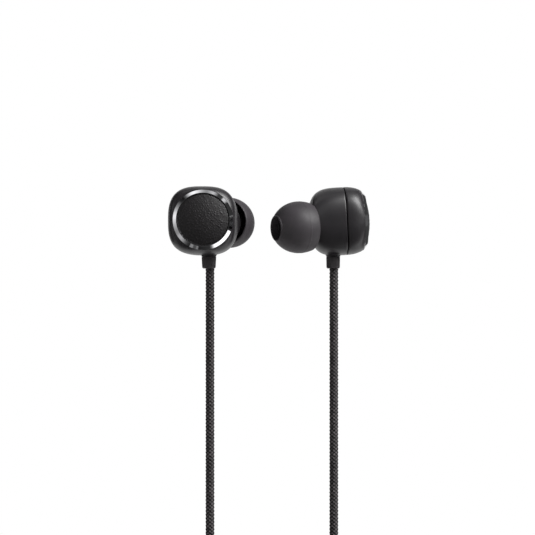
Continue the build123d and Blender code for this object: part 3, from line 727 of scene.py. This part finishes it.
def makeFinish(name, finish):
    material, tree, shader = startFinish(name, finish)
    spot = addNode(tree, "ShaderNodeTexCoord").outputs["Object"]
    patches = addNode(tree, "ShaderNodeTexNoise", {"Scale": 1 / (finish["mottle"] * mm), "Detail": 3.0},
                      {"Vector": spot})
    grain = addNode(tree, "ShaderNodeTexNoise", {"Scale": 1 / (finish["grain"] * mm), "Detail": 2.0},
                    {"Vector": spot})
    share = addNode(tree, "ShaderNodeMapRange", dict(zip((1, 2), patchRange)), {0: patches.outputs[0]})
    colour = addNode(tree, "ShaderNodeMix", {6: linear(finish["colour"]), 7: linear(finish["deep"])},
                     {0: share.outputs[0]}, data_type="RGBA")
    ends = finish["roughness"] - finish["spread"], finish["roughness"] + finish["spread"]
    rough = addNode(tree, "ShaderNodeMapRange", dict(zip((1, 2, 3, 4), grainRange + ends)),
                    {0: grain.outputs[0]})
    bump = addNode(tree, "ShaderNodeBump", {"Strength": 1.0, "Distance": finish["depth"] * mm},
                   {"Height": grain.outputs[0]})
    joinFinish(tree, shader, colour, bump, rough)
    return material


# Chrome plate over a turned and polished ring: mirror bright, with faint turning lines and handling marks.
chrome = {"metallic": 1.0, "colour": "#e4e4e6", "haze": "#cfcfd2", "roughness": (0.03, 0.07), "mark": 0.5,
          "line": 0.06, "lineDepth": 0.001, "lineStrength": 0.4}


def makeChrome():
    material, tree, shader = startFinish("polishedChrome", chrome)
    spot = addNode(tree, "ShaderNodeTexCoord").outputs["Object"]
    marks = addNode(tree, "ShaderNodeTexNoise", {"Scale": 1 / (chrome["mark"] * mm), "Detail": 4.0},
                    {"Vector": spot})
    lines = addNode(tree, "ShaderNodeTexNoise", {"Scale": 1 / (chrome["line"] * mm), "Detail": 1.0},
                    {"Vector": spot})
    colour = addNode(tree, "ShaderNodeMix", {6: linear(chrome["colour"]), 7: linear(chrome["haze"])},
                     {0: marks.outputs[0]}, data_type="RGBA")
    rough = addNode(tree, "ShaderNodeMapRange", dict(zip((1, 2, 3, 4), grainRange + chrome["roughness"])),
                    {0: marks.outputs[0]})
    bump = addNode(tree, "ShaderNodeBump", links={"Height": lines.outputs[0]}, values={
        "Strength": chrome["lineStrength"], "Distance": chrome["lineDepth"] * mm})
    joinFinish(tree, shader, colour, bump, rough)
    return material


# Pebbled leather, pigment finished: creases painted darker as painted shade, smoother and shinier tops to the
# pebbles, fine pores.
leather = {"colour": "#191518", "crease": "#0d0b0c", "ior": 1.45, "roughness": (0.6, 0.44), "pore": 0.12,
           "depth": 0.012}


def makeLeather():
    material, tree, shader = startFinish("pebbledLeather", leather)
    spot = addNode(tree, "ShaderNodeTexCoord").outputs["Object"]
    height = addNode(tree, "ShaderNodeAttribute", attribute_name="grain").outputs["Fac"]
    pores = addNode(tree, "ShaderNodeTexNoise", {"Scale": 1 / (leather["pore"] * mm), "Detail": 3.0},
                    {"Vector": spot})
    # Painted shade: the colour darkens into the creases, by how high the grain stands.
    colour = addNode(tree, "ShaderNodeMix", {6: linear(leather["crease"]), 7: linear(leather["colour"])},
                     {0: height}, data_type="RGBA")
    rough = addNode(tree, "ShaderNodeMapRange", dict(zip((3, 4), leather["roughness"])), {0: height})
    bump = addNode(tree, "ShaderNodeBump", {"Strength": 1.0, "Distance": leather["depth"] * mm},
                   {"Height": pores.outputs[0]})
    joinFinish(tree, shader, colour, bump, rough)
    return material


# Polyester yarn braided over the wires: matt black, each thread a bundle of fibres and a little greyer or
# blacker than the next. Painted shade darkens each thread to near black towards the gaps where it dives under
# another, so it reads lightest where it rises over another.
# The near black colour between the threads, and the range from a crossing's middle over which it comes in,
# are painted shade.
yarn = {"colour": "#4f484b", "deep": "#302b2d", "gapShade": "#040303", "ior": 1.5, "roughness": 0.56,
        "gapShadeRange": (0.14, 0.52), "fibres": 5, "fibreStrength": 0.6, "depth": 0.02}


def makeYarn():
    material, tree, shader = startFinish("braidedYarn", yarn)
    weave = addNode(tree, "ShaderNodeUVMap", uv_map="braid")
    axes = addNode(tree, "ShaderNodeSeparateXYZ", links={0: weave.outputs[0]})
    floors = [addNode(tree, "ShaderNodeMath", links={0: axes.outputs[k]}, operation="FLOOR").outputs[0]
              for k in (0, 1)]
    cells = addNode(tree, "ShaderNodeMath", links={0: floors[0], 1: floors[1]}, operation="ADD")
    below = addNode(tree, "ShaderNodeMath", {1: 2.0}, {0: cells.outputs[0]}, operation="FLOORED_MODULO")
    across = addNode(tree, "ShaderNodeMix", links={0: below.outputs[0], 2: axes.outputs[0],
                                                   3: axes.outputs[1]}).outputs[0]
    within = addNode(tree, "ShaderNodeVectorMath", links={0: weave.outputs[0]}, operation="FRACTION")
    middle = addNode(tree, "ShaderNodeVectorMath", {1: (0.5, 0.5, 0.0)}, {0: within.outputs[0]},
                     operation="SUBTRACT")
    off = addNode(tree, "ShaderNodeVectorMath", links={0: middle.outputs[0]}, operation="LENGTH")
    # Painted shade: 0 in the middle of a crossing, 1 towards its edges, where the threads dive.
    gapShade = addNode(tree, "ShaderNodeMapRange", dict(zip((1, 2), yarn["gapShadeRange"])), {0: off.outputs["Value"]},
                  interpolation_type="SMOOTHSTEP")
    fibre = addNode(tree, "ShaderNodeMath", {1: 2 * math.pi * yarn["fibres"]}, {0: across},
                    operation="MULTIPLY")
    ribs = addNode(tree, "ShaderNodeMath", links={0: fibre.outputs[0]}, operation="SINE")
    crossing = addNode(tree, "ShaderNodeCombineXYZ", links={0: floors[0], 1: floors[1]})
    chance = addNode(tree, "ShaderNodeTexWhiteNoise", links={"Vector": crossing.outputs[0]},
                     noise_dimensions="3D")
    thread = addNode(tree, "ShaderNodeMix", {6: linear(yarn["deep"]), 7: linear(yarn["colour"])},
                     {0: chance.outputs["Value"]}, data_type="RGBA")
    # The painted shade takes each thread to near black where it dives.
    colour = addNode(tree, "ShaderNodeMix", {7: linear(yarn["gapShade"])},
                     {0: gapShade.outputs[0], 6: thread.outputs[2]}, data_type="RGBA")
    bump = addNode(tree, "ShaderNodeBump", links={"Height": ribs.outputs[0]}, values={
        "Strength": yarn["fibreStrength"], "Distance": yarn["depth"] * mm})
    joinFinish(tree, shader, colour, bump, yarn["roughness"])
    return material


# Woven steel gauze over the sound opening: blackened wires, with the open squares between them painted near
# black as painted shade for the shaded bore behind.
gauze = {"colour": "#6a6a6c", "gapShade": "#0c0c0c", "metallic": 1.0, "roughness": 0.35, "wire": 0.22,
         "wireRange": (0.25, 0.4), "depth": 0.04}


def makeGauze():
    material, tree, shader = startFinish("wovenGauze", gauze)
    spot = addNode(tree, "ShaderNodeTexCoord").outputs["Object"]
    cells = addNode(tree, "ShaderNodeTexVoronoi", {"Scale": 1 / (gauze["wire"] * mm), "Randomness": 0.0},
                    {"Vector": spot})
    wires = addNode(tree, "ShaderNodeMapRange", dict(zip((1, 2), gauze["wireRange"])),
                    {0: cells.outputs["Distance"]})
    # Painted shade: the open squares are near black, standing for the dark bore seen through holes.
    colour = addNode(tree, "ShaderNodeMix", {6: linear(gauze["gapShade"]), 7: linear(gauze["colour"])},
                     {0: wires.outputs[0]}, data_type="RGBA")
    bump = addNode(tree, "ShaderNodeBump", {"Strength": 1.0, "Distance": gauze["depth"] * mm},
                   {"Height": wires.outputs[0]})
    joinFinish(tree, shader, colour, bump, gauze["roughness"])
    return material


materials = {name: makeFinish(name, finish) for name, finish in finishes.items()}
materials.update(polishedChrome=makeChrome(), pebbledLeather=makeLeather(), braidedYarn=makeYarn(),
                 wovenGauze=makeGauze())

# Which finish each piece and each CAD node wears; names that start with a side are given without it.
wears = {
    "satinAbs": ("shell_outer", "shell_inner", "splitter_front", "splitter_back", "plug_housing",
                 "outer_shell", "inner_shell"),
    "polishedChrome": ("cap_ring", "trim_ring"),
    "pebbledLeather": ("cap_leather",),
    "plainAbs": ("cap_plate", "driver_baffle", "leather_pad"),
    "dullRubber": ("relief_sleeve", "strain_relief", "splitter_relief", "plug_relief"),
    "softSilicone": ("tip_silicone", "ear_tip"),
    "drawnBrass": ("cord_stop",),
    "wovenGauze": ("nozzle_gauze", "nozzle_mesh"),
    "platedSteel": ("driver_cover", "driver_frame", "driver_yoke", "driver_pole_plate"),
    "platedNickel": ("driver_magnet",),
    "copperWinding": ("voice_coil",),
    "polyesterFilm": ("diaphragm",),
    "solderMask": ("terminal_board",),
    "pressedFelt": ("driver_damper",),
    "wireEnamel": ("lead_wires",),
    "braidedYarn": ("cord_braid",),
    "strapRubber": ("tie",),
    "goldPlate": ("plug_sleeve", "plug_ring", "plug_tip"),
    "insulatorPlastic": ("plug_insulators",),
}


def dress(piece, material):
    if not piece.material_slots:
        piece.data.materials.append(material)
    for slot in piece.material_slots:
        slot.material = material


finishOf = {ending: name for name, endings in wears.items() for ending in endings}
dressed = 0
for piece in list(bpy.context.scene.objects):
    if piece.type != "MESH":
        continue
    name = piece.name
    for start in ("right_", "left_", "main_"):
        name = name.removeprefix(start)
    if name in finishOf:
        dress(piece, materials[finishOf[name]])
        dressed += 1
    else:
        print("no finish named for", piece.name)
print("finishes worn by", dressed, "pieces")


# A wide pale floor below the coil that fades to white away from the object.
floor = {"height": -0.166, "size": 8.0, "colour": "#efeeec", "fadeStart": 0.22, "fadeEnd": 0.5}


def makeFloor():
    clearSelection()
    bpy.ops.mesh.primitive_plane_add(size=floor["size"], location=(0, 0, floor["height"]))
    piece = bpy.context.active_object
    piece.name = "studio_floor"
    material = bpy.data.materials.new("paintedFloor")
    material.use_nodes = True
    tree = material.node_tree
    tree.nodes.clear()
    spot = addNode(tree, "ShaderNodeTexCoord").outputs["Object"]
    away = addNode(tree, "ShaderNodeVectorMath", links={0: spot}, operation="LENGTH")
    fade = addNode(tree, "ShaderNodeMapRange", {1: floor["fadeStart"], 2: floor["fadeEnd"]},
                   {0: away.outputs["Value"]}, interpolation_type="SMOOTHSTEP")
    seen = addSeen(tree)
    share = addNode(tree, "ShaderNodeMath", links={0: fade.outputs[0], 1: seen}, operation="MULTIPLY")
    paint = addNode(tree, "ShaderNodeBsdfDiffuse", {"Color": linear(floor["colour"])})
    white = addNode(tree, "ShaderNodeEmission", {"Strength": 1.0})
    mixed = addNode(tree, "ShaderNodeMixShader",
                    links={0: share.outputs[0], 1: paint.outputs[0], 2: white.outputs[0]})
    addNode(tree, "ShaderNodeOutputMaterial", links={"Surface": mixed.outputs[0]})
    piece.data.materials.append(material)
    piece.visible_glossy = False     # the tent below it is what gloss shows


# 1 for rays from the camera, off gloss or through glass, which all see the white background.
def addSeen(tree):
    path = addNode(tree, "ShaderNodeLightPath")
    first = addNode(tree, "ShaderNodeMath", operation="MAXIMUM",
                    links={0: path.outputs["Is Camera Ray"], 1: path.outputs["Is Glossy Ray"]})
    both = addNode(tree, "ShaderNodeMath", operation="MAXIMUM",
                   links={0: first.outputs[0], 1: path.outputs["Is Transmission Ray"]})
    return both.outputs[0]


# World: white where it is seen, and a plain soft grey where it only lights.
world = {"light": 0.34}


def makeWorld():
    made = bpy.data.worlds.new("studio")
    bpy.context.scene.world = made
    made.use_nodes = True
    tree = made.node_tree
    tree.nodes.clear()
    soft = addNode(tree, "ShaderNodeBackground", {"Color": (1, 1, 1, 1), "Strength": world["light"]})
    white = addNode(tree, "ShaderNodeBackground", {"Color": (1, 1, 1, 1), "Strength": 1.0})
    mixed = addNode(tree, "ShaderNodeMixShader",
                    links={0: addSeen(tree), 1: soft.outputs[0], 2: white.outputs[0]})
    addNode(tree, "ShaderNodeOutputWorld", links={"Surface": mixed.outputs[0]})


# A round wall that only reflections see. Its cards glow between cardNear and cardFar, as (degrees round the
# line of sight from the right, strength), the sweep behind and below is pale, and the rest is dark cloth.
tent = {
    "radius": 0.60, "near": -0.46, "far": 1.0, "cardNear": -0.13, "cardFar": 0.12, "segments": 360,
    "dark": 0.06, "sweep": (212, 322, 1.0),
    "glow": ((0, 0.12), (10, 0.12), (15, 0.04), (40, 0.04), (45, 0.7), (50, 0.9), (53, 0.06), (62, 0.06),
             (67, 0.4), (72, 0.75), (78, 0.55), (84, 0.36), (90, 0.45), (96, 0.75), (102, 1.1), (108, 1.4),
             (114, 1.25), (120, 0.6), (125, 0.14), (130, 0.01), (138, 0.03), (144, 0.17), (150, 0.33),
             (156, 0.6), (162, 0.95), (168, 1.2), (174, 1.05), (180, 0.8), (186, 0.6), (192, 0.44),
             (199, 0.32), (204, 0.34), (210, 0.55), (216, 0.56), (222, 0.36), (228, 0.13), (234, 0.05),
             (239, 0.02), (241, 0.31), (246, 0.31), (248, 0.1), (253, 0.1), (255, 0.25), (257.5, 0.25),
             (259.5, 0.02), (284, 0.04), (288, 0.2), (292, 1.0), (296, 1.8), (338, 1.8), (343, 1.2),
             (347, 0.2), (350, 0.12), (360, 0.12)),
}


def makeTent():
    clearSelection()
    middle = (0, (tent["far"] + tent["near"]) / 2, 0)
    bpy.ops.mesh.primitive_cylinder_add(vertices=tent["segments"], radius=tent["radius"], location=middle,
                                        depth=tent["far"] - tent["near"], rotation=(math.radians(90), 0, 0))
    piece = bpy.context.active_object
    piece.name = "studio_tent"
    bpy.ops.object.transform_apply(location=True, rotation=True)
    bpy.ops.object.mode_set(mode="EDIT")
    for edge in ("cardNear", "cardFar"):
        bpy.ops.mesh.select_all(action="SELECT")
        bpy.ops.mesh.bisect(plane_co=(0, tent[edge], 0), plane_no=(0, 1, 0))
    bpy.ops.mesh.select_all(action="DESELECT")
    bpy.ops.object.mode_set(mode="OBJECT")
    glow, angles, strengths = [], *zip(*tent["glow"])
    for face in piece.data.polygons:
        face.select = face.normal.y > 0.5     # the far end, which is left open
        angle = math.degrees(math.atan2(face.center.z, face.center.x)) % 360
        strength = tent["dark"]
        if tent["cardNear"] < face.center.y < tent["cardFar"]:
            strength = float(np.interp(angle, angles, strengths))
        elif face.center.y > tent["cardFar"] and tent["sweep"][0] < angle < tent["sweep"][1]:
            strength = tent["sweep"][2]
        glow.append(strength)
    piece.data.attributes.new("glow", "FLOAT", "FACE").data.foreach_set("value", glow)
    bpy.ops.object.mode_set(mode="EDIT")
    bpy.ops.mesh.delete(type="FACE")
    bpy.ops.object.mode_set(mode="OBJECT")
    material = bpy.data.materials.new("tentCloth")
    material.use_nodes = True
    tree = material.node_tree
    tree.nodes.clear()
    strength = addNode(tree, "ShaderNodeAttribute", attribute_name="glow").outputs["Fac"]
    light = addNode(tree, "ShaderNodeEmission", links={"Strength": strength})
    addNode(tree, "ShaderNodeOutputMaterial", links={"Surface": light.outputs[0]})
    piece.data.materials.append(material)
    for kind in ("camera", "diffuse", "shadow", "transmission", "volume_scatter"):
        setattr(piece, "visible_" + kind, False)


# Soft boxes: place, size round the line of sight and along it, and power. Each points at the middle.
lamps = {
    "keyBox": {"place": (0.408, -0.205, 0.390), "size": (0.44, 0.32), "power": 7.0},
    "fillBox": {"place": (-0.34, -0.34, -0.02), "size": (0.40, 0.30), "power": 0.25},
    "topBox": {"place": (-0.02, 0.32, 0.38), "size": (0.40, 0.30), "power": 0.2},
}


def addLamps():
    for name, lamp in lamps.items():
        clearSelection()
        place = Vector(lamp["place"])
        away = place.normalized()
        around = Vector((-place.z, 0, place.x)).normalized()
        bpy.ops.object.light_add(type="AREA")
        box = bpy.context.active_object
        box.name = name
        box.data.shape = "RECTANGLE"
        box.data.size, box.data.size_y = lamp["size"]
        box.data.energy = lamp["power"]
        turned = Matrix((around, away.cross(around), away)).transposed().to_4x4()
        box.matrix_world = Matrix.Translation(place) @ turned


makeFloor()
makeWorld()
makeTent()
addLamps()
bpy.context.scene.view_settings.view_transform = "Standard"
print("studio lit")
